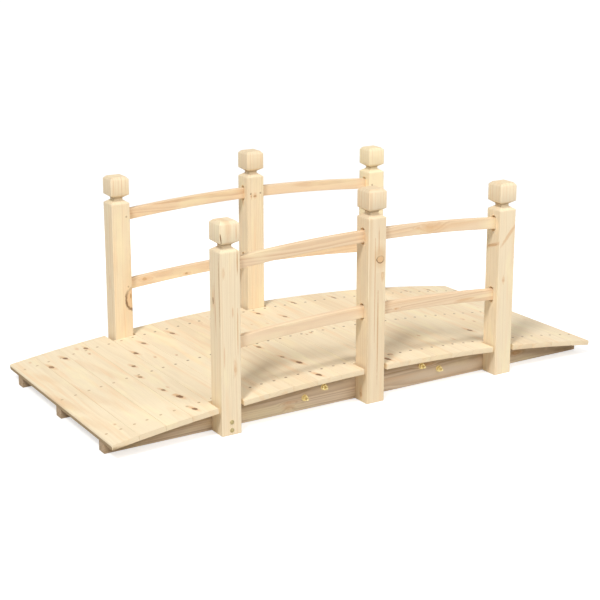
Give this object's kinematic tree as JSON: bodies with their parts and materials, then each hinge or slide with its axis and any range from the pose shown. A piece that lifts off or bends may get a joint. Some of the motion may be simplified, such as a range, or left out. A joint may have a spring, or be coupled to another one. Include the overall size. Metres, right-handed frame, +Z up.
{
  "type": "arched garden footbridge",
  "caption": "Small arched timber garden bridge: plank deck on spliced stringers, with capped square posts and arched double rails along both sides.",
  "frame": {"origin": "on the ground under the middle of the deck", "axes": "+X along the walk towards the right-hand end, +Y across the walk away from the near side, +Z up"},
  "size_m": [1.4858, 0.67, 0.565],
  "materials": {
    "deck_wood": "planed raw softwood with small knots",
    "post_wood": "planed raw softwood, straight grain",
    "rail_wood": "planed raw softwood, pinkish",
    "stringer_wood": "planed raw softwood",
    "fasteners": "yellow zinc plated"
  },
  "bodies": {
    "root": {"deck_board_01": "deck_wood", "deck_board_02": "deck_wood", "deck_board_03": "deck_wood", "deck_board_04": "deck_wood", "deck_board_05": "deck_wood", "deck_board_06": "deck_wood", "deck_board_07": "deck_wood", "deck_board_08": "deck_wood", "deck_board_09": "deck_wood", "deck_board_10": "deck_wood", "deck_board_11": "deck_wood", "deck_board_12": "deck_wood", "deck_board_13": "deck_wood", "deck_board_14": "deck_wood", "deck_board_15": "deck_wood", "deck_board_16": "deck_wood", "deck_board_17": "deck_wood", "deck_board_18": "deck_wood", "deck_board_19": "deck_wood", "deck_board_20": "deck_wood", "deck_board_21": "deck_wood", "near_left_post": "post_wood", "near_middle_post": "post_wood", "near_right_post": "post_wood", "far_left_post": "post_wood", "far_middle_post": "post_wood", "far_right_post": "post_wood", "near_left_low_rail": "rail_wood", "near_left_top_rail": "rail_wood", "near_right_low_rail": "rail_wood", "near_right_top_rail": "rail_wood", "far_left_low_rail": "rail_wood", "far_left_top_rail": "rail_wood", "far_right_low_rail": "rail_wood", "far_right_top_rail": "rail_wood", "near_stringer_left": "stringer_wood", "near_stringer_right": "stringer_wood", "middle_stringer_left": "stringer_wood", "middle_stringer_right": "stringer_wood", "far_stringer_left": "stringer_wood", "far_stringer_right": "stringer_wood", "near_splice": "stringer_wood", "middle_splice": "stringer_wood", "far_splice": "stringer_wood"}
  },
  "joints": []
}
